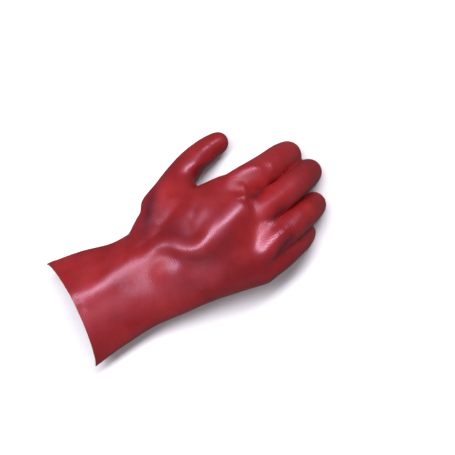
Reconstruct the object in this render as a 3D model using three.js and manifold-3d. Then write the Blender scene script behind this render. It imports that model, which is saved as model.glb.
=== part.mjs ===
// A PVC coated work glove with a long cuff, for a right hand, lying palm down.
// It is one hollow skin: a knitted liner and the coat bonded to it, open only at the cuff.
// Millimetres, +Z up, fingers towards +Y, thumb towards -X, resting on the floor at z = 0.
import * as THREE from 'three';
import Module from 'manifold-3d';

const wasm = await Module();
wasm.setup();

// Driving sizes
const wall = 1.5;
const bodyLength = 193;
const mouthWidth = 100.5;
const mouthHeight = 44;
const wristWidth = 81;
const wristHeight = 42;
const palmWidth = 101;
const palmHeight = 49;
const archHeight = 25;
const topRimBow = 6;
const soleRimBow = 11;
const rimFadeLength = 45;
const restDepth = 2.5;
const tipDepth = 0.8;
const mouthClearance = 6;
const foldHeight = 5;
const foldReach = 10;

// Lengths run along the spine from inside the hand to the centre of the round tip
const indexLength = 89;
const indexWidth = 28;
const middleLength = 97;
const middleWidth = 26;
const ringLength = 87;
const ringWidth = 25;
const littleLength = 70;
const littleWidth = 22;
const thumbLength = 120;
const thumbWidth = 23;

// Mesh fineness
const bodyRings = 32;
const bodySides = 36;
const digitRings = 10;
const digitSides = 14;
const tipRings = 3;
const routeSteps = 24;
const sideCrowding = 0.2;
const capRingShare = 0.9;

// Cross-sections of the cuff, wrist and palm. along is a share of bodyLength; left, right and tall
// are shares of the width and height named by size; lift and sag are shares of archHeight; seam is
// the height of the side creases as a share of the section; round is 1 for an oval, more for a lens.
const sizes = {
  mouth: { width: mouthWidth, height: mouthHeight },
  wrist: { width: wristWidth, height: wristHeight },
  palm: { width: palmWidth, height: palmHeight },
};
const bodySections = [
  { along: 0.00, size: 'mouth', left: 0.50, right: 0.50, tall: 1.00,
    lift: 0.00, sag: 0.00, seam: 0.48, round: 1.60 },
  { along: 0.08, size: 'mouth', left: 0.49, right: 0.46, tall: 0.98,
    lift: 0.00, sag: 0.00, seam: 0.47, round: 1.45 },
  { along: 0.17, size: 'mouth', left: 0.47, right: 0.43, tall: 0.96,
    lift: 0.00, sag: 0.00, seam: 0.47, round: 1.25 },
  { along: 0.32, size: 'wrist', left: 0.51, right: 0.49, tall: 1.00,
    lift: 0.02, sag: 0.00, seam: 0.48, round: 1.00 },
  { along: 0.45, size: 'wrist', left: 0.55, right: 0.51, tall: 1.05,
    lift: 0.22, sag: 0.05, seam: 0.48, round: 0.95 },
  { along: 0.56, size: 'palm', left: 0.48, right: 0.42, tall: 0.95,
    lift: 0.45, sag: 0.12, seam: 0.48, round: 0.92 },
  { along: 0.67, size: 'palm', left: 0.50, right: 0.45, tall: 1.00,
    lift: 0.68, sag: 0.25, seam: 0.48, round: 0.90 },
  { along: 0.78, size: 'palm', left: 0.50, right: 0.48, tall: 0.93,
    lift: 0.90, sag: 0.42, seam: 0.50, round: 0.90 },
  { along: 0.88, size: 'palm', left: 0.50, right: 0.50, tall: 0.78,
    lift: 1.04, sag: 0.58, seam: 0.50, round: 0.90 },
  { along: 1.00, size: 'palm', left: 0.50, right: 0.43, tall: 0.56,
    lift: 1.14, sag: 0.74, seam: 0.50, round: 1.00 },
];
const sideCapStart = 0.84;
const faceCapStart = 0.94;
const capEnd = 1.03;

// The rim bows with this power of the section's height, and folds fade in between these heights
const bowPower = 1.2;
const foldFadeStart = -0.2;
const foldFadeEnd = 0.35;

// Folds and dents of the back of the hand. Each route runs through points [across, along] in shares
// of palmWidth and bodyLength; height and reach are shares of foldHeight and foldReach.
const folds = {
  ridgeFromCuffToKnuckle: { height: 0.75, reach: 1.0,
    route: [[-0.07, 0.02], [-0.09, 0.17], [-0.15, 0.29], [-0.21, 0.39], [-0.20, 0.47], [-0.09, 0.55],
      [0.00, 0.62], [0.01, 0.72], [-0.08, 0.82], [-0.16, 0.90]] },
  valleyAtThumbSideOfWrist: { height: -0.80, reach: 0.9,
    route: [[-0.52, 0.52], [-0.40, 0.47], [-0.30, 0.41]] },
  bumpBelowRidge: { height: 0.55, reach: 1.2,
    route: [[0.03, 0.46], [0.06, 0.51]] },
  hollowBetweenBumpAndRidge: { height: -0.45, reach: 0.8,
    route: [[-0.08, 0.46], [0.02, 0.53], [0.10, 0.57]] },
  foldAtRootsOfRingAndLittle: { height: 0.60, reach: 0.6,
    route: [[0.10, 0.98], [0.22, 0.93], [0.32, 0.88]] },
  hollowBehindThatFold: { height: -0.70, reach: 0.8,
    route: [[0.06, 0.91], [0.20, 0.84]] },
};

// Girth of the fingers and of the thumb along their spines, as a share of their width
const fingerGirth = [
  { along: 0.00, girth: 0.78 },
  { along: 0.22, girth: 0.97 },
  { along: 0.42, girth: 1.02 },
  { along: 0.62, girth: 0.97 },
  { along: 0.82, girth: 0.99 },
  { along: 1.00, girth: 0.93 },
];
const thumbGirth = [
  { along: 0.00, girth: 0.75 },
  { along: 0.20, girth: 1.34 },
  { along: 0.40, girth: 1.52 },
  { along: 0.57, girth: 1.28 },
  { along: 0.70, girth: 1.10 },
  { along: 0.85, girth: 0.96 },
  { along: 1.00, girth: 0.87 },
];

// Fingers and thumb. across, along and up place the root as shares of palmWidth, bodyLength and
// archHeight plus palmHeight; root and tip are headings in degrees from +Y towards +X, and late says
// how late the spine turns from one to the other; curl is how many degrees the pitch grows on each
// side of its mean; rootDeep and tipDeep are height over width.
const digits = {
  index: { length: indexLength, width: indexWidth, girths: fingerGirth, across: -0.325, along: 0.803,
    up: 0.665, root: -3, tip: -20, late: 1, curl: 32, rootDeep: 0.95, tipDeep: 1.00 },
  middle: { length: middleLength, width: middleWidth, girths: fingerGirth, across: -0.030, along: 0.830,
    up: 0.655, root: -5, tip: -29, late: 1, curl: 36, rootDeep: 1.00, tipDeep: 1.02 },
  ring: { length: ringLength, width: ringWidth, girths: fingerGirth, across: 0.237, along: 0.835,
    up: 0.620, root: -6, tip: -32, late: 1, curl: 36, rootDeep: 1.00, tipDeep: 1.02 },
  little: { length: littleLength, width: littleWidth, girths: fingerGirth, across: 0.395, along: 0.810,
    up: 0.505, root: -4, tip: -36, late: 1, curl: 30, rootDeep: 1.00, tipDeep: 1.02 },
  thumb: { length: thumbLength, width: thumbWidth, girths: thumbGirth, across: -0.234, along: 0.412,
    up: 0.455, root: -38, tip: 0, late: 4, curl: 10, rootDeep: 1.10, tipDeep: 1.28 },
};

// Smooth reading of a table whose rows are placed by their column "along"
function smoothTable(rows, columns) {
  const places = rows.map((row) => row.along);
  const values = rows.flatMap((row) => columns.map((column) => row[column]));
  const spline = new THREE.CubicInterpolant(places, values, columns.length);
  return (along) => {
    const result = spline.evaluate(along);
    return Object.fromEntries(columns.map((column, index) => [column, result[index]]));
  };
}

const bodyAt = smoothTable(
  bodySections.map((row) => {
    const { width, height } = sizes[row.size];
    return {
      along: row.along,
      left: row.left * width,
      right: row.right * width,
      tall: row.tall * height,
      lift: row.lift * archHeight,
      sag: row.sag * archHeight,
      seam: row.seam,
      round: row.round,
    };
  }),
  ['left', 'right', 'tall', 'lift', 'sag', 'seam', 'round'],
);

const foldRoutes = Object.values(folds).map((fold) => {
  const points = fold.route.map(([across, along]) => (
    new THREE.Vector2(across * palmWidth, along * bodyLength)
  ));
  return {
    height: fold.height * foldHeight,
    reach: fold.reach * foldReach,
    points: new THREE.SplineCurve(points).getPoints(routeSteps),
  };
});

// How far the folds push the skin outwards over a point of the plan
function foldPush(x, y) {
  const place = new THREE.Vector2(x, y);
  let push = 0;
  for (const route of foldRoutes) {
    const distance = Math.min(...route.points.map((point) => point.distanceTo(place)));
    push += route.height * Math.exp(-((distance / route.reach) ** 2));
  }
  return push;
}

// Rows of points become a closed solid: neighbouring rings are joined and both ends get a fan
function loft(rings, startPole, endPole) {
  const sides = rings[0].length;
  const points = [startPole, ...rings.flat(), endPole];
  const triangles = [];
  const corner = (ring, side) => 1 + ring * sides + (side % sides);
  for (let side = 0; side < sides; side += 1) {
    triangles.push(0, corner(0, side), corner(0, side + 1));
    for (let ring = 0; ring < rings.length - 1; ring += 1) {
      const a = corner(ring, side);
      const b = corner(ring, side + 1);
      const c = corner(ring + 1, side + 1);
      const d = corner(ring + 1, side);
      triangles.push(a, c, b, a, d, c);
    }
    triangles.push(points.length - 1, corner(rings.length - 1, side + 1), corner(rings.length - 1, side));
  }
  const geometry = new THREE.BufferGeometry().setFromPoints(points);
  geometry.setIndex(triangles);
  return geometry;
}

function toSolid(geometry) {
  return new wasm.Manifold(new wasm.Mesh({
    numProp: 3,
    vertProperties: Float32Array.from(geometry.getAttribute('position').array),
    triVerts: Uint32Array.from(geometry.getIndex().array),
  }));
}

// 1 up to start, then down to 0 at end along a quarter circle
function roundOff(place, start, end) {
  const beyond = Math.max(0, (place - start) / (end - start));
  return Math.sqrt(Math.max(0, 1 - beyond ** 2));
}

// The soft skin lies flat where it meets the floor, and its inside stays one wall above that
function restOnFloor(point, inset) {
  point.z = Math.max(point.z, inset);
  return point;
}

// Cuff, wrist and palm, moved inwards by inset. The inner form starts before the mouth to open it.
function bodySolid(inset) {
  const angles = Array.from({ length: bodySides }, (_, side) => {
    const turn = (side / bodySides) * 2 * Math.PI;
    return turn + sideCrowding * Math.sin(2 * turn);
  });
  const section = (along, shift) => {
    const row = bodyAt(Math.min(along, 1));
    const narrow = roundOff(along, sideCapStart, capEnd);
    const closing = roundOff(along, faceCapStart, capEnd);
    const seamHeight = row.lift + row.seam * row.tall;
    const press = restDepth * Math.max(0, 1 - row.lift / restDepth);
    return angles.map((angle) => {
      const sideways = Math.cos(angle);
      const upwards = Math.sin(angle);
      const halfWidth = (sideways > 0 ? row.right : row.left) - inset;
      const reach = upwards > 0 ? (1 - row.seam) * row.tall : row.seam * row.tall + press;
      const rise = Math.sign(upwards) * Math.abs(upwards) ** row.round;
      const x = halfWidth * sideways * narrow;
      const y = along * bodyLength;
      const back = THREE.MathUtils.smoothstep(upwards, foldFadeStart, foldFadeEnd);
      const push = closing * back * foldPush(x, y);
      const droop = row.sag * Math.max(0, x / row.right) ** 2;
      const bow = upwards > 0 ? topRimBow : soleRimBow;
      const fade = Math.max(0, 1 - y / rimFadeLength) ** 2;
      const point = new THREE.Vector3(
        x + push * sideways,
        y + shift + bow * fade * Math.abs(upwards) ** bowPower,
        seamHeight - droop + (reach - inset) * rise * closing + push * upwards,
      );
      return restOnFloor(point, inset);
    });
  };
  const lastAlong = capEnd - inset / bodyLength;
  const rings = [];
  if (inset > 0) rings.push(section(0, -mouthClearance - soleRimBow));
  for (let ring = 0; ring < bodyRings; ring += 1) {
    const share = ring / bodyRings;
    const capShare = Math.max(0, (share - capRingShare) / (1 - capRingShare));
    const capPart = (1 - capRingShare) * Math.sin(capShare * 0.5 * Math.PI);
    const along = capEnd * (Math.min(share, capRingShare) + capPart);
    rings.push(section(Math.min(along, lastAlong), 0));
  }
  const centreOf = (ring) => ring.reduce((sum, point) => sum.add(point), new THREE.Vector3())
    .divideScalar(ring.length);
  const nose = centreOf(rings[rings.length - 1]);
  nose.y = lastAlong * bodyLength;
  return toSolid(loft(rings, centreOf(rings[0]), nose));
}

// One finger or the thumb as a round tube whose spine curls down until its tip rests on the floor
function digitSolid(digit, inset) {
  const girthAt = smoothTable(digit.girths, ['girth']);
  const radiusAt = (along) => (girthAt(along).girth * digit.width) / 2;
  const deepAt = (along) => THREE.MathUtils.lerp(digit.rootDeep, digit.tipDeep, along);
  const place = new THREE.Vector3(
    digit.across * palmWidth,
    digit.along * bodyLength,
    digit.up * (archHeight + palmHeight),
  );
  const drop = place.z - radiusAt(1) * deepAt(1) + tipDepth;
  const curl = THREE.MathUtils.degToRad(digit.curl);
  const meanPitch = Math.asin((drop * curl) / (digit.length * Math.sin(curl)));
  const direction = (along) => {
    const turned = THREE.MathUtils.lerp(digit.root, digit.tip, along ** digit.late);
    const heading = THREE.MathUtils.degToRad(turned);
    const pitch = meanPitch + curl * (2 * along - 1);
    return {
      ahead: new THREE.Vector3(
        Math.sin(heading) * Math.cos(pitch),
        Math.cos(heading) * Math.cos(pitch),
        -Math.sin(pitch),
      ),
      aside: new THREE.Vector3(Math.cos(heading), -Math.sin(heading), 0),
    };
  };
  const ringAt = (centre, along, radius) => {
    const { ahead, aside } = direction(along);
    const upright = new THREE.Vector3().crossVectors(aside, ahead);
    return Array.from({ length: digitSides }, (_, side) => {
      const angle = (side / digitSides) * 2 * Math.PI;
      const point = centre.clone()
        .addScaledVector(aside, Math.cos(angle) * (radius - inset))
        .addScaledVector(upright, Math.sin(angle) * (radius * deepAt(along) - inset));
      return restOnFloor(point, inset);
    });
  };
  const rings = [];
  const start = place.clone();
  const stepLength = digit.length / digitRings;
  for (let ring = 0; ring <= digitRings; ring += 1) {
    const along = ring / digitRings;
    rings.push(ringAt(place, along, radiusAt(along)));
    if (ring < digitRings) place.addScaledVector(direction(along + 0.5 / digitRings).ahead, stepLength);
  }
  const tipRadius = radiusAt(1);
  const { ahead } = direction(1);
  for (let ring = 1; ring <= tipRings; ring += 1) {
    const angle = (ring / (tipRings + 1)) * 0.5 * Math.PI;
    const centre = place.clone().addScaledVector(ahead, (tipRadius - inset) * Math.sin(angle));
    rings.push(ringAt(centre, 1, inset + (tipRadius - inset) * Math.cos(angle)));
  }
  const tip = restOnFloor(place.clone().addScaledVector(ahead, tipRadius - inset), inset);
  return toSolid(loft(rings, start, tip));
}

function gloveForm(inset) {
  return Object.values(digits).reduce((form, digit) => form.add(digitSolid(digit, inset)), bodySolid(inset));
}

function toGeometry(solid) {
  const mesh = solid.getMesh();
  const geometry = new THREE.BufferGeometry();
  geometry.setAttribute('position', new THREE.BufferAttribute(mesh.vertProperties, mesh.numProp));
  geometry.setIndex(new THREE.BufferAttribute(mesh.triVerts, 1));
  return geometry;
}

const gloveShell = new THREE.Mesh(
  toGeometry(gloveForm(0).subtract(gloveForm(wall))),
  new THREE.MeshStandardMaterial({ color: '#a3332f', roughness: 0.38, metalness: 0 }),
);
gloveShell.name = 'glove_shell';

// The origin is on the floor under the middle of the glove's box
const box = new THREE.Box3().setFromObject(gloveShell);
const middle = box.getCenter(new THREE.Vector3());
gloveShell.position.set(-middle.x, -middle.y, -box.min.z);

const group = new THREE.Group();
group.add(gloveShell);

export default group;
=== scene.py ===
# A red PVC coated work glove with a long cuff, for the right hand, lying palm down on a pale floor.
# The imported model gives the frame; the glove's skin is worked out from it and finished here.
import math

import bmesh
import bpy
import numpy as np
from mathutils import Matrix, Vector, noise
from mathutils.bvhtree import BVHTree


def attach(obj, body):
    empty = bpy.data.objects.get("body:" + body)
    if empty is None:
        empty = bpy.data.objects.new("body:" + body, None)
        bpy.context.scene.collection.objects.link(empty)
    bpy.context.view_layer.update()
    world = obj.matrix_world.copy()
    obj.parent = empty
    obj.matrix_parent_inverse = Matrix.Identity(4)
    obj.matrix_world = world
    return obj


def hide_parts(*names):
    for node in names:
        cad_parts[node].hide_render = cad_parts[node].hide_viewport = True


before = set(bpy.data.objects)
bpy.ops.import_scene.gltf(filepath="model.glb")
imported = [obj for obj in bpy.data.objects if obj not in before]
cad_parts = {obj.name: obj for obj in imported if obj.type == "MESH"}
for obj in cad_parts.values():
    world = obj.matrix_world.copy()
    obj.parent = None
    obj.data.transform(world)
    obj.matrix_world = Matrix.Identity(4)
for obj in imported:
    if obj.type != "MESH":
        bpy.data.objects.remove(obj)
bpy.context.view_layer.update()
print("frame loaded")


def mm(value):
    return value * 0.001


def smoothStep(value, start, end):
    share = np.clip((value - start) / (end - start), 0.0, 1.0)
    return share * share * (3.0 - 2.0 * share)


def linearColour(hexColour, alpha=1.0):
    # sRGB hex to the linear colour that shaders and lights take
    channels = [int(hexColour[place : place + 2], 16) / 255.0 for place in (1, 3, 5)]
    linear = [c / 12.92 if c <= 0.04045 else ((c + 0.055) / 1.055) ** 2.4 for c in channels]
    return (*linear, alpha)


# Camera: high over the back of the hand, the fingers pointing up and to the right of the picture
cameraView = {
    "azimuth": 64.3,
    "elevation": 80.0,
    "distance": 4.0,
    "frameWidth": 0.3913,  # how much of the floor the picture spans
    "sensor": 36.0,
    "target": (0.0119, 0.0281, 0.030),
    "clipEnd": 20.0,
}


def makeCamera(view):
    azimuth, elevation = math.radians(view["azimuth"]), math.radians(view["elevation"])
    back = Vector((
        math.sin(azimuth) * math.cos(elevation),
        -math.cos(azimuth) * math.cos(elevation),
        math.sin(elevation),
    ))
    data = bpy.data.cameras.new("camera")
    data.sensor_width = view["sensor"]
    data.lens = view["sensor"] * view["distance"] / view["frameWidth"]
    data.clip_end = view["clipEnd"]
    camera = bpy.data.objects.new("camera", data)
    bpy.context.scene.collection.objects.link(camera)
    camera.location = Vector(view["target"]) + back * view["distance"]
    camera.rotation_mode = "QUATERNION"
    camera.rotation_quaternion = (-back).to_track_quat("-Z", "Y")
    bpy.context.scene.camera = camera
    return camera


camera = makeCamera(cameraView)

# Lights. tilt leans a light from the camera's own direction towards the picture's top, turn towards
# its right, both in degrees; size is the softbox's width and height in metres.
studio = {
    "key": {
        "tilt": 20.0, "turn": -8.0, "distance": 1.3, "size": (2.9, 0.42),
        "power": 38.0, "colour": "#fbf8ff"},
    "fill": {
        "tilt": -50.0, "turn": -20.0, "distance": 1.7, "size": (0.9, 0.9),
        "power": 1.2, "colour": "#fbf9ff"},
}
# The studio's walls light the glove softly, but are dark where it mirrors them
surroundings = {"colour": "#f2f2f6", "strength": 0.40, "mirrored": 0.10}


def makeLight(name, light):
    turned = camera.rotation_quaternion.to_matrix()
    toEye, toTop, toRight = turned.col[2], turned.col[1], turned.col[0]
    tilt, turn = math.radians(light["tilt"]), math.radians(light["turn"])
    direction = toEye * math.cos(tilt) * math.cos(turn) + toTop * math.sin(tilt) + toRight * math.sin(turn)
    direction.normalize()
    data = bpy.data.lights.new(name, "AREA")
    data.shape = "RECTANGLE"
    data.size, data.size_y = light["size"]
    data.energy = light["power"]
    data.color = linearColour(light["colour"])[:3]
    lamp = bpy.data.objects.new(name, data)
    bpy.context.scene.collection.objects.link(lamp)
    lamp.location = Vector(cameraView["target"]) + direction * light["distance"]
    lamp.rotation_mode = "QUATERNION"
    lamp.rotation_quaternion = direction.to_track_quat("Z", "Y")


for lightName, light in studio.items():
    makeLight(lightName, light)

bpy.context.scene.view_settings.view_transform = "Standard"
print("camera and lights set")


def newMaterial(name):
    material = bpy.data.materials.new(name)
    material.use_nodes = True
    return material, material.node_tree, material.node_tree.nodes["Principled BSDF"]


def addNode(tree, kind, settings=None, links=None):
    # settings are node properties or, where the name is an input's, its value; links join inputs to outputs
    node = tree.nodes.new(kind)
    for key, value in (settings or {}).items():
        if isinstance(key, str) and hasattr(node, key):
            setattr(node, key, value)
        else:
            node.inputs[key].default_value = value
    for key, output in (links or {}).items():
        tree.links.new(output, node.inputs[key])
    return node


def makeSurroundings():
    world = bpy.data.worlds.new("studio")
    world.use_nodes = True
    backdrop = world.node_tree.nodes["Background"]
    backdrop.inputs["Color"].default_value = linearColour(surroundings["colour"])
    ray = addNode(world.node_tree, "ShaderNodeLightPath")
    strength = addNode(world.node_tree, "ShaderNodeMapRange", {
        "To Min": surroundings["strength"], "To Max": surroundings["mirrored"],
    }, {"Value": ray.outputs["Is Glossy Ray"]})
    world.node_tree.links.new(strength.outputs["Result"], backdrop.inputs["Strength"])
    bpy.context.scene.world = world


makeSurroundings()

# Coat: PVC plastisol dipped over interlock knit and fused in an oven. A satin red skin: a soft sheen
# with a glossier film on top, through which the rows of the knit show in the highlights. Clouds,
# blotches and grain are counted in cells to the metre, so that 24 of them are 42 mm wide each.
coat = {
    "deep": "#770f0f",
    "clear": "#921a16",
    # painted shade: dark purple mixed into the coat in fold valleys, between the fingers and on patches
    # marked dark, where shade falls
    "crease": "#3a0d18",
    "cloudsPerMetre": 24.0,
    "ior": 1.53,
    "roughness": (0.30, 0.43),
    "blotchesPerMetre": 45.0,
    "mattRoughness": 0.22,  # added where the coat is painted matt
    "mattMirroring": 0.3,  # the share of its mirroring that is left there
    "specular": 0.95,
    "specularTint": "#ffc8ee",
    "filmWeight": 0.30,
    "filmRoughness": 0.22,
    "courseMm": 1.95,  # rows of the knit, drawn a little coarser than the real 1.2 mm so that they show
    "ribHeightMm": 0.045,
    "waleShare": 0.5,
    "swayPerMetre": 45.0,
    "fadingPerMetre": 20.0,
    "grainPerMetre": 520.0,
    "grainHeightMm": 0.02,
}


def waves(tree, count):
    # One wave between -1 and 1 for each row or column of the knit
    turn = addNode(tree, "ShaderNodeMath", {"operation": "MULTIPLY", 1: 2 * math.pi}, {0: count})
    return addNode(tree, "ShaderNodeMath", {"operation": "SINE"}, {0: turn.outputs[0]}).outputs[0]


def coatMaterial():
    material, tree, shader = newMaterial("pvc plastisol coat")
    place = addNode(tree, "ShaderNodeTexCoord").outputs["Object"]
    knit = addNode(tree, "ShaderNodeUVMap", {"uv_map": "knit"}).outputs["UV"]
    crease = addNode(tree, "ShaderNodeAttribute", {"attribute_name": "crease"}).outputs["Fac"]
    matt = addNode(tree, "ShaderNodeAttribute", {"attribute_name": "matt"}).outputs["Fac"]
    # Soft clouds of colour, where the dip is thicker or thinner, and painted shade: the crease attribute
    # mixes dark purple into creases and valleys
    clouds = addNode(tree, "ShaderNodeTexNoise", {
        "Scale": coat["cloudsPerMetre"], "Detail": 4.0, "Roughness": 0.6,
    }, {"Vector": place})
    tone = addNode(tree, "ShaderNodeValToRGB", None, {"Fac": clouds.outputs["Fac"]})
    tone.color_ramp.elements[0].position = 0.34
    tone.color_ramp.elements[0].color = linearColour(coat["deep"])
    tone.color_ramp.elements[1].position = 0.66
    tone.color_ramp.elements[1].color = linearColour(coat["clear"])
    # Painted shade: the crease attribute mixes the dark purple into the base colour
    dark = addNode(tree, "ShaderNodeMix", {"data_type": "RGBA"}, {0: crease, 6: tone.outputs["Color"]})
    dark.inputs[7].default_value = linearColour(coat["crease"])
    tree.links.new(dark.outputs[2], shader.inputs["Base Color"])
    # Gloss varies in blotches about two centimetres wide, and there is less of it where the coat is matt
    blotches = addNode(tree, "ShaderNodeTexNoise", {
        "Scale": coat["blotchesPerMetre"], "Detail": 3.0,
    }, {"Vector": place})
    gloss = addNode(tree, "ShaderNodeMapRange", {
        "From Min": 0.3, "From Max": 0.7, "To Min": coat["roughness"][0], "To Max": coat["roughness"][1],
    }, {"Value": blotches.outputs["Fac"]})
    dull = addNode(tree, "ShaderNodeMath", {"operation": "MULTIPLY_ADD", 1: coat["mattRoughness"]},
                   {0: matt, 2: gloss.outputs["Result"]})
    tree.links.new(dull.outputs[0], shader.inputs["Roughness"])
    for inputName, full in (("Specular IOR Level", coat["specular"]), ("Coat Weight", coat["filmWeight"])):
        level = addNode(tree, "ShaderNodeMapRange", {
            "To Min": full, "To Max": full * coat["mattMirroring"],
        }, {"Value": matt})
        tree.links.new(level.outputs["Result"], shader.inputs[inputName])
    # Rows and columns of the knit, slightly wavy, and clearer in some places than in others
    sway = addNode(tree, "ShaderNodeTexNoise", {
        "Scale": coat["swayPerMetre"], "Detail": 1.0,
    }, {"Vector": place})
    split = addNode(tree, "ShaderNodeSeparateXYZ", None, {"Vector": knit})
    row = addNode(tree, "ShaderNodeMath", {"operation": "ADD"},
                  {0: split.outputs["Y"], 1: sway.outputs["Fac"]})
    knitHeight = addNode(tree, "ShaderNodeMath", {"operation": "MULTIPLY_ADD", 1: coat["waleShare"]},
                         {0: waves(tree, split.outputs["X"]), 2: waves(tree, row.outputs[0])})
    fading = addNode(tree, "ShaderNodeTexNoise", {
        "Scale": coat["fadingPerMetre"], "Detail": 2.0,
    }, {"Vector": place})
    shows = addNode(tree, "ShaderNodeMapRange", {
        "From Min": 0.35, "From Max": 0.62, "To Min": 0.2, "To Max": 1.0,
    }, {"Value": fading.outputs["Fac"]})
    ribs = addNode(tree, "ShaderNodeMath", {"operation": "MULTIPLY"},
                   {0: knitHeight.outputs[0], 1: shows.outputs["Result"]})
    ribBump = addNode(tree, "ShaderNodeBump", {"Strength": 1.0, "Distance": mm(coat["ribHeightMm"])},
                      {"Height": ribs.outputs[0]})
    grain = addNode(tree, "ShaderNodeTexNoise", {
        "Scale": coat["grainPerMetre"], "Detail": 3.0,
    }, {"Vector": place})
    grainBump = addNode(tree, "ShaderNodeBump", {"Strength": 1.0, "Distance": mm(coat["grainHeightMm"])},
                        {"Height": grain.outputs["Fac"], "Normal": ribBump.outputs["Normal"]})
    tree.links.new(grainBump.outputs["Normal"], shader.inputs["Normal"])
    tree.links.new(ribBump.outputs["Normal"], shader.inputs["Coat Normal"])
    shader.inputs["IOR"].default_value = coat["ior"]
    shader.inputs["Specular Tint"].default_value = linearColour(coat["specularTint"])
    shader.inputs["Coat Roughness"].default_value = coat["filmRoughness"]
    return material


# Lining: bleached cotton interlock, matt and fluffy, with close columns of loops
lining = {
    "thread": "#e6dfd0",
    "between": "#b9ad9b",
    "loopHeightMm": 0.3,
    "rowShare": 0.5,
    "fluffPerMetre": 600.0,
    "roughness": 0.95,
    "sheen": 0.25,
}


def liningMaterial():
    material, tree, shader = newMaterial("cotton interlock lining")
    place = addNode(tree, "ShaderNodeTexCoord").outputs["Object"]
    knit = addNode(tree, "ShaderNodeUVMap", {"uv_map": "knit"}).outputs["UV"]
    split = addNode(tree, "ShaderNodeSeparateXYZ", None, {"Vector": knit})
    loops = addNode(tree, "ShaderNodeMath", {"operation": "MULTIPLY_ADD", 1: lining["rowShare"]},
                    {0: waves(tree, split.outputs["Y"]), 2: waves(tree, split.outputs["X"])})
    fluff = addNode(tree, "ShaderNodeTexNoise", {
        "Scale": lining["fluffPerMetre"], "Detail": 4.0,
    }, {"Vector": place})
    height = addNode(tree, "ShaderNodeMath", {"operation": "ADD"},
                     {0: loops.outputs[0], 1: fluff.outputs["Fac"]})
    tone = addNode(tree, "ShaderNodeMapRange", {"From Min": -1.0, "From Max": 1.6},
                   {"Value": height.outputs[0]})
    colour = addNode(tree, "ShaderNodeMix", {"data_type": "RGBA"}, {0: tone.outputs["Result"]})
    colour.inputs[6].default_value = linearColour(lining["between"])
    colour.inputs[7].default_value = linearColour(lining["thread"])
    tree.links.new(colour.outputs[2], shader.inputs["Base Color"])
    bump = addNode(tree, "ShaderNodeBump", {"Strength": 1.0, "Distance": mm(lining["loopHeightMm"])},
                   {"Height": height.outputs[0]})
    tree.links.new(bump.outputs["Normal"], shader.inputs["Normal"])
    shader.inputs["Roughness"].default_value = lining["roughness"]
    shader.inputs["Sheen Weight"].default_value = lining["sheen"]
    return material


# Rim: the cut edge of the cuff, red coat outside and a pale line of cut cotton inside
rim = {
    "coat": "#8e2022",
    "cotton": "#d8cdbc",
    "fibresPerMetre": 900.0,
    "fibreHeightMm": 0.2,
    "roughness": 0.8,
}


def rimMaterial():
    material, tree, shader = newMaterial("cut cuff edge")
    place = addNode(tree, "ShaderNodeTexCoord").outputs["Object"]
    fibres = addNode(tree, "ShaderNodeTexNoise", {
        "Scale": rim["fibresPerMetre"], "Detail": 3.0,
    }, {"Vector": place})
    colour = addNode(tree, "ShaderNodeMix", {"data_type": "RGBA"}, {0: fibres.outputs["Fac"]})
    colour.inputs[6].default_value = linearColour(rim["coat"])
    colour.inputs[7].default_value = linearColour(rim["cotton"])
    tree.links.new(colour.outputs[2], shader.inputs["Base Color"])
    bump = addNode(tree, "ShaderNodeBump", {"Strength": 1.0, "Distance": mm(rim["fibreHeightMm"])},
                   {"Height": fibres.outputs["Fac"]})
    tree.links.new(bump.outputs["Normal"], shader.inputs["Normal"])
    shader.inputs["Roughness"].default_value = rim["roughness"]
    return material


# Skin of the glove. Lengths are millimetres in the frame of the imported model, angles degrees.
skin = {
    "voxel": 1.42,
    "wall": 1.5,
    "shrink": 1.0,  # drawn in before the remesh, so that neighbouring fingers don't fuse
    "swell": 1.45,  # let out again after it
    "cuffExtra": 14.0,
    "quadAngle": 50.0,
    "roundingLevels": 2,
    "smoothing": 0.5,
    "smoothTurns": 14,
    "rootTurns": 34,
    "rootReach": 0.87,  # the size of a digit's root as a share of its width
    "rootFade": (0.7, 1.4),  # where the extra smoothing fades out, as shares of that size
    "merge": 0.01,
    "rimFaceTilt": 0.6,  # faces near the mouth that look more than this along -Y are the cut rim
    "rimDepth": 20.0,
    "rimMerge": 0.15,
    "sharpAngle": 55.0,
}
# Where the skin faces itself across a gap, or lies back to back: how far off the search starts and how
# far it looks, and the share of the gap, or of the room inside, that may be filled
closeness = {
    "start": 0.05,
    "gapReach": 8.0,
    "gapShare": 0.46,
    "roomReach": 3,  # in thicknesses of the wall
    "roomShare": 0.4,
    "leastRoom": 0.05,  # the thinnest wall as a share of the full one
}

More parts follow.
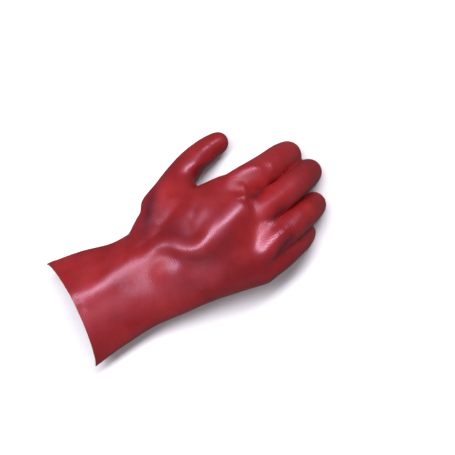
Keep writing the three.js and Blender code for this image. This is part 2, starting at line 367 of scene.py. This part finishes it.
# Spines of the digits from inside the hand to the centre of the round tip. rootAt is how far along
# its spine a digit's root is smoothed and rootBlend how strongly, knitFrom where its own rows start.
digits = {
    "index": {
        "width": 28, "rootAt": 11, "rootBlend": 0.4, "knitFrom": 24,
        "spine": [(-11.6, 29.2, 49.2), (-13.6, 51.3, 48.4), (-17.0, 72.1, 41.6), (-21.3, 89.9, 29.2),
                  (-25.6, 103.5, 12.2)]},
    "middle": {
        "width": 26, "rootAt": 11, "rootBlend": 0.4, "knitFrom": 24,
        "spine": [(18.2, 34.4, 48.5), (14.8, 58.3, 49.7), (9.2, 80.9, 43.5), (2.3, 99.9, 30.3),
                  (-4.3, 113.6, 11.5)]},
    "ring": {
        "width": 25, "rootAt": 11, "rootBlend": 0.4, "knitFrom": 24,
        "spine": [(45.2, 35.4, 45.9), (41.7, 56.7, 46.5), (36.1, 76.7, 40.4), (29.3, 93.3, 28.2),
                  (23.0, 104.9, 11.1)]},
    "little": {
        "width": 22, "rootAt": 11, "rootBlend": 0.4, "knitFrom": 24,
        "spine": [(61.1, 30.5, 37.4), (58.7, 47.8, 36.8), (54.1, 63.8, 31.7), (48.1, 77.3, 22.4),
                  (41.9, 87.4, 9.6)]},
    "thumb": {
        "width": 30, "rootAt": 45, "rootBlend": 1.0, "knitFrom": 55,
        "spine": [(-2.4, -46.3, 33.7), (-20.8, -22.7, 32.1), (-38.7, 1.0, 28.0), (-54.1, 25.9, 21.3),
                  (-61.4, 53.2, 12.0)]},
}

# Taut skin between the thumb and the hand: balls (place, radius) wrapped into one smooth bulge each
webs = {
    "thumb web": [
        ((-17, -21, 38), 12.5), ((-18, -7, 38.5), 12.5), ((-20, 6, 44.5), 12.5),
        ((-30, -20, 35.5), 13.5), ((-35, -7, 35), 14.5), ((-39, 6, 31), 14.5)],
    "thumb root": [((0, -55, 27), 13), ((-4, -45, 30), 15), ((-19, -30, 35), 13), ((-6, -30, 36), 15)],
}


def webSkin(balls):
    # The hull round some balls, each a spiral of points
    bm = bmesh.new()
    count = 300
    rank = np.arange(count) + 0.5
    height, turn = 1 - 2 * rank / count, rank * math.pi * (1 + 5**0.5)
    level = np.sqrt(1 - height**2)
    sphere = np.stack([level * np.cos(turn), level * np.sin(turn), height], axis=1)
    for place, radius in balls:
        for corner in np.array(place) + sphere * (radius - skin["shrink"]):
            bm.verts.new(mm(corner))
    hull = bmesh.ops.convex_hull(bm, input=bm.verts)
    spare = {g for g in hull["geom_interior"] + hull["geom_unused"] if isinstance(g, bmesh.types.BMVert)}
    bmesh.ops.delete(bm, geom=[v for v in spare if v.is_valid], context="VERTS")
    bmesh.ops.recalc_face_normals(bm, faces=bm.faces)
    return bm


def smoothPath(points, step=1.0):
    # Catmull-Rom curve through the points, sampled about every step millimetres
    points = [np.array(p, float) for p in points]
    ends = [2 * points[0] - points[1], *points, 2 * points[-1] - points[-2]]
    made = []
    for a, b, c, d in zip(ends, ends[1:], ends[2:], ends[3:]):
        count = max(2, int(np.linalg.norm(c - b) / step))
        for t in np.arange(count) / count:
            made.append(0.5 * (2 * b + (c - a) * t + (2 * a - 5 * b + 4 * c - d) * t**2
                               + (3 * b - a - 3 * c + d) * t**3))
    made.append(points[-1])
    return np.array(made)


def nearestOnPath(spots, path):
    # Distance from each spot to the path, how far along the path its nearest sample lies, and which it is
    lengths = np.concatenate([[0.0], np.cumsum(np.linalg.norm(np.diff(path, axis=0), axis=1))])
    best = np.full(len(spots), np.inf)
    index = np.zeros(len(spots), int)
    for i, sample in enumerate(path):
        distance = ((spots - sample) ** 2).sum(axis=1)
        closer = distance < best
        best[closer] = distance[closer]
        index[closer] = i
    return np.sqrt(best), lengths[index], index


def outerSkin(node):
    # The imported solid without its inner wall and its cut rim, and the rim's own line
    bm = bmesh.new()
    bm.from_mesh(node.data)
    bmesh.ops.remove_doubles(bm, verts=bm.verts, dist=mm(skin["merge"]))
    bm.normal_update()
    mouth = min(v.co.y for v in bm.verts)
    cut = [f for f in bm.faces if f.normal.y < -skin["rimFaceTilt"]
           and f.calc_center_median().y < mouth + mm(skin["rimDepth"])]
    bmesh.ops.delete(bm, geom=cut, context="FACES")
    top = max(bm.verts, key=lambda v: v.co.z)
    outside, queue = set(top.link_faces), list(top.link_faces)
    while queue:
        face = queue.pop()
        for edge in face.edges:
            for other in edge.link_faces:
                if other not in outside:
                    outside.add(other)
                    queue.append(other)
    bmesh.ops.delete(bm, geom=[f for f in bm.faces if f not in outside], context="FACES")
    line = np.array([v.co[:] for v in bm.verts if v.is_boundary])
    return bm, line


def rimShift(rimLine, x, z):
    # Where the rim lies along Y at each turn round the mouth's middle
    centre = (rimLine.max(axis=0) + rimLine.min(axis=0)) / 2
    turn = np.arctan2(rimLine[:, 2] - centre[2], rimLine[:, 0] - centre[0])
    order = np.argsort(turn)
    asked = np.arctan2(z - centre[2], x - centre[0])
    return np.interp(asked, turn[order], rimLine[order, 1], period=2 * math.pi)


def meshObject(name, bm):
    mesh = bpy.data.meshes.new(name)
    bm.to_mesh(mesh)
    bm.free()
    made = bpy.data.objects.new(name, mesh)
    bpy.context.scene.collection.objects.link(made)
    return made


def applyModifiers(piece):
    graph = bpy.context.evaluated_depsgraph_get()
    graph.update()
    finished = bpy.data.meshes.new_from_object(piece.evaluated_get(graph))
    piece.modifiers.clear()
    old = piece.data
    piece.data = finished
    bpy.data.meshes.remove(old)


def places(piece):
    flat = np.zeros(len(piece.data.vertices) * 3)
    piece.data.vertices.foreach_get("co", flat)
    return flat.reshape(-1, 3)


def normals(piece):
    flat = np.zeros(len(piece.data.vertices) * 3)
    piece.data.vertex_normals.foreach_get("vector", flat)
    return flat.reshape(-1, 3)


def movePlaces(piece, co):
    piece.data.vertices.foreach_set("co", np.ascontiguousarray(co, np.float32).ravel())
    piece.data.update()


def weightGroup(piece, name, weights):
    # A vertex group whose weights are rounded to twentieths
    levels = 20
    group = piece.vertex_groups.new(name=name)
    steps = np.round(np.clip(weights, 0, 1) * levels).astype(int)
    for level in range(1, levels + 1):
        group.add(np.flatnonzero(steps == level).tolist(), level / levels, "REPLACE")


def softSkin():
    # One even, smooth, closed skin with the cuff made a little too long
    bm, rimLine = outerSkin(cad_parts["glove_shell"])
    quadAngle = math.radians(skin["quadAngle"])
    bmesh.ops.join_triangles(bm, faces=bm.faces, angle_face_threshold=quadAngle,
                             angle_shape_threshold=quadAngle)
    bm.normal_update()
    outward = {v: v.normal.copy() for v in bm.verts}
    for v, direction in outward.items():
        v.co -= direction * mm(skin["shrink"])
    edges = [e for e in bm.edges if e.is_boundary]
    longer = bmesh.ops.extrude_edge_only(bm, edges=edges)["geom"]
    bmesh.ops.translate(bm, verts=[g for g in longer if isinstance(g, bmesh.types.BMVert)],
                        vec=(0, -mm(skin["cuffExtra"]), 0))
    bmesh.ops.holes_fill(bm, edges=[e for e in bm.edges if e.is_boundary], sides=0)
    glove = meshObject("glove_skin", bm)
    join = bmesh.new()
    join.from_mesh(glove.data)
    for name, balls in webs.items():
        web = meshObject(name, webSkin(balls))
        join.from_mesh(web.data)
        bpy.data.objects.remove(web)
    join.to_mesh(glove.data)
    join.free()
    rounding = glove.modifiers.new("rounding", "SUBSURF")
    rounding.levels = rounding.render_levels = skin["roundingLevels"]
    even = glove.modifiers.new("even", "REMESH")
    even.mode = "VOXEL"
    even.voxel_size = mm(skin["voxel"])
    calm = glove.modifiers.new("calm", "SMOOTH")
    calm.factor = skin["smoothing"]
    calm.iterations = skin["smoothTurns"]
    applyModifiers(glove)
    print("skin remeshed:", len(glove.data.vertices), "vertices")
    return glove, rimLine


def blendRoots(glove):
    # More smoothing where the fingers and the thumb grow out of the hand
    co = places(glove) * 1000
    weight = np.zeros(len(co))
    for digit in digits.values():
        root = smoothPath(digit["spine"])[digit["rootAt"]]
        distance = np.linalg.norm(co - root, axis=1)
        reach = digit["width"] * skin["rootReach"]
        near, far = (reach * share for share in skin["rootFade"])
        weight = np.maximum(weight, digit["rootBlend"] * (1 - smoothStep(distance, near, far)))
    weightGroup(glove, "roots", weight)
    blend = glove.modifiers.new("blend", "SMOOTH")
    blend.factor = skin["smoothing"]
    blend.iterations = skin["rootTurns"]
    blend.vertex_group = "roots"
    applyModifiers(glove)
    glove.vertex_groups.clear()


# Folds of the skin. route is a line over the back of the hand, seen from above. height is how far the
# crest stands out of the skin, or how deep a valley lies where it is below zero. left and right say
# over what distance it falls away on each side of the route as it runs, crest how round its top is, and
# flat is half the width of a level top. Each of these may be a list of values along the route. ends are
# the shares of the route over which the fold fades in and out. calm is how often the push is evened
# out, once where it isn't given. Lengths are millimetres.
folds = {
    "ridge from cuff to knuckle": {
        "height": [0.3, 0.4, 0.9, 2.4, 4.0, 3.8, 3.2, 3.2, 3.2],
        "left": [16, 16, 12, 8, 6.5, 6.5, 7, 8, 7], "right": [14, 14, 10, 9, 8.5, 7, 7, 8, 6],
        "crest": [8, 8, 6, 3.5, 3.5, 3.5, 4, 5, 4], "flat": [0, 0, 0, 0, 0, 0, 0.5, 3.5, 5],
        "ends": (0.1, 0.04), "calm": 8,
        "route": [(13.0, -121), (13.6, -99.9), (14.8, -81.3), (13.9, -66.4), (11.0, -55.3), (8.4, -44.4),
                  (3.6, -34.4), (5.4, -24.3), (16.0, -15.8), (21.4, -8.8), (22.3, -1.6), (15.6, 12.1),
                  (10.4, 28.0), (5.6, 40.8), (3.2, 50.8)]},
    "line up from the knuckle": {
        "height": 2.6, "left": 3.0, "right": 3.0, "crest": 1.2, "ends": (0.05, 0.3),
        "route": [(3.0, 48.5), (-4.0, 50.8), (-14.5, 54.2)]},
    "hollow right of the ridge": {
        "height": -1.0, "left": 5.0, "right": 8.0, "crest": 3.0, "ends": (0.4, 0.3), "calm": 8,
        "route": [(24, -24), (30, -17), (34, -6), (33, 8), (26, 24), (22, 38)]},
    "hollow left of the bend": {
        "height": -1.0, "left": 6.0, "right": 5.0, "crest": 2.5, "ends": (0.35, 0.35),
        "route": [(-4, -38), (-4, -28), (0, -18), (9, -10), (12, 0), (8, 10)]},
    "bump in the bend of the ridge": {
        "height": 0.7, "left": 12.0, "right": 12.0, "crest": 8.0, "ends": (0.5, 0.5), "calm": 16,
        "route": [(17, -50), (22, -40), (28, -31)]},
    "edge of the back": {
        "height": 1.7, "left": 6.0, "right": 11.0, "crest": 6.0, "ends": (0.35, 0.35), "calm": 8,
        "route": [(-7, -26), (-10, -12), (-14, 0), (-17, 12), (-19, 24)]},
    "flat of the back": {
        "height": 2.9, "left": 9.0, "right": 8.0, "crest": 5.0, "ends": (0.4, 0.35), "flat": 5, "calm": 12,
        "route": [(-11, 30), (-9, 14), (-5, 2), (0, -8)]},
    "valley at the thumb side of the wrist": {
        "height": -0.4, "left": 6.0, "right": 6.0, "crest": 3.0, "ends": (0.25, 0.35), "calm": 8,
        "route": [(2.0, -52.0), (-5.5, -45.0), (-15.5, -38.0), (-25.5, -31.0), (-32.0, -22.0),
                  (-39.0, -12.0)]},
    "streak on the web": {
        "height": 0.5, "left": 4.0, "right": 3.5, "crest": 1.5, "ends": (0.35, 0.35),
        "route": [(-27.1, -13.9), (-27.7, -2.1), (-26.8, 7.2)]},
    "small crease": {
        "height": -0.35, "left": 2.4, "right": 2.4, "crest": 1.0, "ends": (0.3, 0.3),
        "route": [(-13.6, 14.6), (-9.8, 10.9), (-0.5, 2.4), (2.0, -1.0)]},
    "ridge at the root of the index": {
        "height": 2.5, "left": 4.0, "right": 4.5, "crest": 1.8, "ends": (0.3, 0.3),
        "route": [(-18.5, 36.0), (-20.8, 45.0), (-22.4, 55.0), (-21.6, 64.5), (-18.0, 72.0), (-13.0, 78.0)]},
    "hollow beside that ridge": {
        "height": -0.7, "left": 2.5, "right": 5.0, "crest": 1.5, "ends": (0.35, 0.35),
        "route": [(-14.5, 48), (-15.5, 57), (-14.5, 65), (-11, 72)]},
    "crease between index and middle": {
        "height": -0.8, "left": 3.0, "right": 3.0, "crest": 1.2, "ends": (0.4, 0.4),
        "route": [(4.0, 55.0), (1.6, 61.0), (-0.5, 68.0)]},
    "crease between ring and little": {
        "height": -1.4, "left": 2.2, "right": 2.2, "crest": 0.6, "ends": (0.35, 0.1),
        "route": [(52.0, 53.0), (49.8, 60.5), (48.0, 68.0)]},
    "fullness between index and middle": {
        "height": 2.2, "left": 8.0, "right": 8.0, "crest": 4.0, "ends": (0.3, 0.3),
        "route": [(1.0, 66.0), (-3.0, 76.0), (-8.0, 87.0), (-12.0, 97.0)]},
    "glint across the index": {
        "height": 0.6, "left": 3.0, "right": 3.0, "crest": 1.2, "ends": (0.35, 0.35),
        "route": [(-22.7, 85.2), (-13.9, 81.9), (-9.0, 78.0)]},
    "crest of the fold at ring and little": {
        "height": 3.6, "left": 5.0, "right": 4.0, "crest": 3.0, "flat": [0, 1, 2, 1.5, 0.5],
        "ends": (0.35, 0.25), "calm": 4,
        "route": [(37, 72.0), (39.8, 65.0), (45.2, 56.0), (51.2, 46.5), (55.2, 38.5)]},
    "thin line on the ring finger": {
        "height": 0.9, "left": 2.5, "right": 2.5, "crest": 0.8, "ends": (0.3, 0.3),
        "route": [(42.0, 62.9), (39.3, 69.2), (37.0, 76.1)]},
    "knuckle of the little finger": {
        "height": 0.8, "left": 3.0, "right": 3.0, "crest": 1.5, "ends": (0.4, 0.4),
        "route": [(57.0, 51.0), (53.6, 58.3), (52.6, 64.0)]},
    "inner edge of the thumb": {
        "height": 2.3, "left": 5.5, "right": 3.0, "crest": 1.2, "ends": (0.3, 0.35),
        "route": [(-45.5, 15.0), (-47.6, 22.0), (-48.8, 31.0), (-51.0, 43.5), (-55.0, 56.0)]},
    "wrinkle across the ring finger": {
        "height": 0.5, "left": 2.5, "right": 2.5, "crest": 1.2, "ends": (0.3, 0.3),
        "route": [(26.2, 79.4), (27.0, 86.1), (33.4, 88.8)]},
    "upper pucker of the rim": {
        "height": -0.8, "left": 2.4, "right": 2.4, "crest": 1.0, "ends": (0.4, 0.4),
        "route": [(16.8, -118.5), (16.6, -115.0), (16.2, -111.0)]},
    "lower pucker of the rim": {
        "height": -0.8, "left": 2.2, "right": 2.2, "crest": 1.0, "ends": (0.4, 0.4),
        "route": [(23.2, -118.5), (22.8, -115.0), (22.0, -111.5)]},
}
# Patches where the coat is duller than elsewhere (matt), or darkened with painted shade (dark), from 0 to 1,
# laid out in the same way
patches = {
    "root of the middle finger": {
        "matt": 1.0, "dark": 0.0, "left": 12.0, "right": 12.0, "crest": 8.0, "ends": (0.3, 0.3),
        "route": [(19, 51), (14, 66), (9, 80), (4, 92)]},
    "root of the index": {
        "matt": 1.0, "dark": 0.0, "left": 6.0, "right": 9.0, "crest": 4.0, "ends": (0.3, 0.3),
        "route": [(-17, 38), (-13, 48), (-8, 60), (-6, 72)]},
    "thumb side of the back": {
        "matt": 1.0, "dark": 0.0, "left": 11.0, "right": 9.0, "crest": 4.0, "ends": (0.25, 0.25),
        "route": [(-15, -44), (-26, -32), (-34, -20), (-41, -6)]},
    # painted shade in the creases where neighbouring fingers meet
    "between index and middle": {
        "matt": 1.0, "dark": 0.75, "left": 2.2, "right": 2.2, "crest": 1.0, "ends": (0.3, 0.2),
        "route": [(5, 52), (1.5, 61), (-2, 70), (-6, 80)]},
    "between middle and ring": {
        "matt": 1.0, "dark": 0.75, "left": 2.2, "right": 2.2, "crest": 1.0, "ends": (0.4, 0.2),
        "route": [(29.5, 55), (26.6, 61), (23, 70), (19, 80)]},
    "between ring and little": {
        "matt": 0.5, "dark": 0.7, "left": 1.6, "right": 1.6, "crest": 0.8, "ends": (0.3, 0.2),
        "route": [(54, 49), (50.5, 59), (47.5, 68), (44, 77)]},
    # painted shade on the lower side of the cuff, which faces away from the light
    "lower side of the cuff": {
        "matt": 0.5, "dark": 0.14, "left": 14.0, "right": 14.0, "crest": 12.0, "ends": (0.1, 0.3),
        "route": [(42, -126), (38, -98), (37, -76), (40, -50)]},
    "slope below the thumb's web": {
        "matt": 1.0, "dark": 0.0, "left": 6.0, "right": 5.0, "crest": 4.0, "ends": (0.3, 0.3),
        "route": [(-10, -38), (-17, -26), (-23, -13)]},
    "wrist under the ridge": {
        "matt": 0.85, "dark": 0.0, "left": 8.0, "right": 12.0, "crest": 8.0, "ends": (0.3, 0.3),
        "route": [(17, -52), (22, -42), (28, -31)]},
    # painted shade in the valley along the outer edge of the thumb
    "outer edge of the thumb": {
        "matt": 0.6, "dark": 0.8, "left": 4.0, "right": 4.0, "crest": 2.0, "ends": (0.4, 0.4),
        "route": [(-0.9, -49.5), (-9.3, -42.4), (-19.4, -33.7), (-33.7, -22.1), (-45.4, -12.6),
                  (-55.7, -1.0)]},
}
# How every fold is laid on the skin, and how its valleys darken the coat with painted shade that deepens
# with their depth
relief = {
    "seenFrom": 200.0,  # the height from which routes are dropped on to the skin
    "fade": (2.0, 3.6),  # where the fold's side fades to nothing, as shares of left or right
    "fadeStart": -0.001,  # just short of the route's end, where the fade is already above 0
    "paintedShadeFullDepth": 3.0,
    "mostPaintedShade": 0.6,
    "paintedShadeTurns": 2,
    "mattTurns": 8,
}
# Soft unevenness all over the skin
undulation = {"heightMm": 0.35, "widthMm": 26.0, "fineHeightMm": 0.12, "fineWidthMm": 11.0}


def foldPath(route, tree):
    # A route seen from above is dropped on to the skin
    path = []
    for x, y in smoothPath(route):
        above = Vector((mm(x), mm(y), mm(relief["seenFrom"])))
        hit = tree.ray_cast(above, Vector((0, 0, -1)))[0]
        if hit is not None:
            path.append([x, y, hit.z * 1000])
    return np.array(path)


def foldProfile(distance, reach, crest):
    # Greatest on the crest, where it is 1, and falling away like a fold in a soft sheet
    share = distance / reach
    rounding = crest / reach
    fall = np.exp(rounding - np.sqrt(share**2 + rounding**2))
    return fall * (1 - smoothStep(share, *relief["fade"]))


def calmed(glove, values, turns):
    # Each value drawn to the mean of its neighbours', turn after turn
    ends = np.zeros(len(glove.data.edges) * 2, int)
    glove.data.edges.foreach_get("vertices", ends)
    first, second = ends.reshape(-1, 2).T
    number = np.bincount(first, minlength=len(values)) + np.bincount(second, minlength=len(values))
    for _ in range(turns):
        total = np.bincount(first, values[second], len(values))
        total += np.bincount(second, values[first], len(values))
        values = total / number
    return values


def along(values, share):
    # A value that is the same all along a route, or a list of values spread evenly over it
    steps = np.atleast_1d(values)
    return np.interp(share, np.linspace(0, 1, len(steps)), steps)


def spreadOf(fold, co, out, tree):
    # How much of a fold reaches each place of the skin, from 0 to 1, and the place's share of the route
    path = foldPath(fold["route"], tree)
    distance, run, index = nearestOnPath(co, path)
    share = run / run.max()
    heading = np.gradient(path, axis=0)[index]
    side = np.einsum("ij,ij->i", np.cross(heading, out), co - path[index])
    reach = np.where(side > 0, along(fold["right"], share), along(fold["left"], share))
    first, last = fold["ends"]
    start = relief["fadeStart"]
    fade = smoothStep(share, start, first) * smoothStep(1 - share, start, last)
    distance = np.maximum(0, distance - along(fold.get("flat", 0), share))
    return fade * foldProfile(distance, reach, along(fold["crest"], share)), share


def paint(glove, name, values):
    layer = glove.data.attributes.new(name, "FLOAT", "POINT")
    layer.data.foreach_set("value", values.astype(np.float32))


def addFolds(glove):
    co, out = places(glove) * 1000, normals(glove)
    tree = BVHTree.FromObject(glove, bpy.context.evaluated_depsgraph_get())
    push = np.full(len(co), skin["swell"])
    dark, matt = np.zeros(len(co)), np.zeros(len(co))
    for fold in folds.values():
        spread, share = spreadOf(fold, co, out, tree)
        change = calmed(glove, along(fold["height"], share) * spread, fold.get("calm", 1))
        push += change
        # Valleys paint shade into the coat, darker the deeper they are
        dark = np.maximum(dark, np.clip(-change / relief["paintedShadeFullDepth"], 0, relief["mostPaintedShade"]))
    for patch in patches.values():
        spread = spreadOf(patch, co, out, tree)[0]
        matt = np.maximum(matt, patch["matt"] * spread)
        # Patches marked dark paint shade into the coat as well
        dark = np.maximum(dark, patch["dark"] * spread)
    for place, spot in enumerate(co):
        coarse = noise.noise(Vector(spot) / undulation["widthMm"])
        fine = noise.noise(Vector(spot) / undulation["fineWidthMm"])
        push[place] += undulation["heightMm"] * coarse + undulation["fineHeightMm"] * fine
        # Neighbouring fingers meet, but don't run into one another
        start = Vector(mm(co[place] + out[place] * closeness["start"]))
        gap = tree.ray_cast(start, Vector(out[place]), mm(closeness["gapReach"]))[3]
        if gap is not None:
            push[place] = min(push[place], gap * 1000 * closeness["gapShare"])
    co += out * push[:, None]
    co[:, 2] = np.maximum(co[:, 2], 0.0)
    movePlaces(glove, mm(co))
    # The crease attribute carries this painted shade to the coat's colour
    paint(glove, "crease", calmed(glove, dark, relief["paintedShadeTurns"]))
    paint(glove, "matt", calmed(glove, matt, relief["mattTurns"]))


def measureRoom(glove):
    # Where the skin lies back to back the wall is thinner, so that the lining stays inside
    co, out = places(glove), normals(glove)
    tree = BVHTree.FromObject(glove, bpy.context.evaluated_depsgraph_get())
    wanted = mm(skin["wall"])
    room = np.ones(len(co))
    for place, spot in enumerate(co):
        inward = Vector(-out[place])
        start = Vector(spot) + inward * mm(closeness["start"])
        reach = tree.ray_cast(start, inward, wanted * closeness["roomReach"])[3]
        if reach is not None:
            room[place] = max(closeness["leastRoom"], min(1.0, reach * closeness["roomShare"] / wanted))
    weightGroup(glove, "room", room)


def cutCuff(glove, rimLine):
    # The rim's bowed line is straightened, cut across, and bowed again
    bm = bmesh.new()
    bm.from_mesh(glove.data)

    def shiftAll(sign):
        co = np.array([v.co[:] for v in bm.verts])
        moved = co[:, 1] + sign * rimShift(rimLine, co[:, 0], co[:, 2])
        for v, y in zip(bm.verts, moved):
            v.co.y = y

    shiftAll(-1)
    bmesh.ops.bisect_plane(bm, geom=[*bm.verts, *bm.edges, *bm.faces], plane_co=(0, 0, 0),
                           plane_no=(0, -1, 0), clear_outer=True)
    bmesh.ops.remove_doubles(bm, verts=bm.verts, dist=mm(skin["rimMerge"]))
    shiftAll(1)
    bm.to_mesh(glove.data)
    bm.free()


# Columns of the knit run round an axis through the hand, which rises from the cuff to the knuckles, and
# round the spine of each digit. Rows start along the bowed rim and are straight past bowFade.
knitting = {
    "handColumns": 170,
    "digitColumns": 58,
    "axisX": 21.7,
    "axisZ": 20,
    "axisRise": 28,
    "riseAlongY": (-60, 50),
    "bowFade": 50,
    "digitReach": 0.75,
    "rootLength": 25,
}


def knitMap(glove, rimLine):
    # U counts the columns of knit round a limb, V its rows from the cuff; each face follows one limb
    co = places(glove) * 1000
    mouth = rimLine[:, 1].min() * 1000
    bodyRow = co[:, 1] - mouth
    bow = rimShift(rimLine, mm(co[:, 0]), mm(co[:, 2])) * 1000 - mouth
    row = bodyRow - bow * (1 - smoothStep(bodyRow, 0, knitting["bowFade"]))
    rise = smoothStep(co[:, 1], *knitting["riseAlongY"]) * knitting["axisRise"]
    turns = [np.arctan2(co[:, 2] - knitting["axisZ"] - rise, co[:, 0] - knitting["axisX"])]
    counts = [knitting["handColumns"]]
    limb = np.zeros(len(co), int)
    nearest = np.full(len(co), 1.0)
    for number, digit in enumerate(digits.values(), 1):
        path = smoothPath(digit["spine"])
        distance, run, index = nearestOnPath(co, path)
        heading = np.gradient(path, axis=0)[index]
        heading /= np.linalg.norm(heading, axis=1)[:, None]
        aside = np.cross(heading, [0, 0, 1])
        aside /= np.linalg.norm(aside, axis=1)[:, None]
        upright = np.cross(aside, heading)
        offset = co - path[index]
        turns.append(np.arctan2((offset * upright).sum(axis=1), (offset * aside).sum(axis=1)))
        counts.append(knitting["digitColumns"])
        root = digit["knitFrom"]
        share = distance / (digit["width"] * knitting["digitReach"])
        mine = (run > root) & (share < nearest)
        nearest[mine] = share[mine]
        limb[mine] = number
        start = path[root][1] - mouth
        blend = smoothStep(run, root, root + knitting["rootLength"])
        row = np.where(mine, row * (1 - blend) + (start + run - root) * blend, row)
    mesh = glove.data
    loopVertex = np.zeros(len(mesh.loops), int)
    mesh.loops.foreach_get("vertex_index", loopVertex)
    sizes = np.zeros(len(mesh.polygons), int)
    mesh.polygons.foreach_get("loop_total", sizes)
    starts = np.zeros(len(mesh.polygons), int)
    mesh.polygons.foreach_get("loop_start", starts)
    faceOfLoop = np.repeat(np.arange(len(sizes)), sizes)
    faceLimb = limb[loopVertex[starts]][faceOfLoop]
    turn = np.array(turns)[faceLimb, loopVertex]
    first = np.array(turns)[faceLimb, loopVertex[starts][faceOfLoop]]
    turn += 2 * math.pi * np.round((first - turn) / (2 * math.pi))
    columns = turn / (2 * math.pi) * np.array(counts)[faceLimb]
    rows = row[loopVertex] / coat["courseMm"]
    layer = mesh.uv_layers.new(name="knit")
    layer.data.foreach_set("uv", np.stack([columns, rows], axis=1).astype(np.float32).ravel())


def makeGlove():
    glove, rimLine = softSkin()
    blendRoots(glove)
    addFolds(glove)
    cutCuff(glove, rimLine)
    knitMap(glove, rimLine)
    for material in (coatMaterial(), liningMaterial(), rimMaterial()):
        glove.data.materials.append(material)
    measureRoom(glove)
    wall = glove.modifiers.new("wall", "SOLIDIFY")
    wall.thickness = mm(skin["wall"])
    wall.offset = -1
    wall.vertex_group = "room"
    wall.use_rim = True
    wall.material_offset = 1
    wall.material_offset_rim = 2
    applyModifiers(glove)
    glove.data.polygons.foreach_set("use_smooth", [True] * len(glove.data.polygons))
    glove.data.set_sharp_from_angle(angle=math.radians(skin["sharpAngle"]))
    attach(glove, "root")
    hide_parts("glove_shell")
    glove.data.calc_loop_triangles()
    print("glove made:", len(glove.data.loop_triangles), "triangles")


makeGlove()

# Floor: a plain pale studio table
ground = {"size": 6.0, "colour": "#f2f1f3", "roughness": 0.7, "drop": 0.0002}


def makeFloor():
    material, _, shader = newMaterial("pale studio floor")
    shader.inputs["Base Color"].default_value = linearColour(ground["colour"])
    shader.inputs["Roughness"].default_value = ground["roughness"]
    bm = bmesh.new()
    bmesh.ops.create_grid(bm, x_segments=1, y_segments=1, size=ground["size"] / 2)
    bmesh.ops.translate(bm, verts=bm.verts, vec=(0, 0, -ground["drop"]))
    floor = meshObject("floor", bm)
    floor.data.materials.append(material)
    floor.visible_glossy = False


makeFloor()
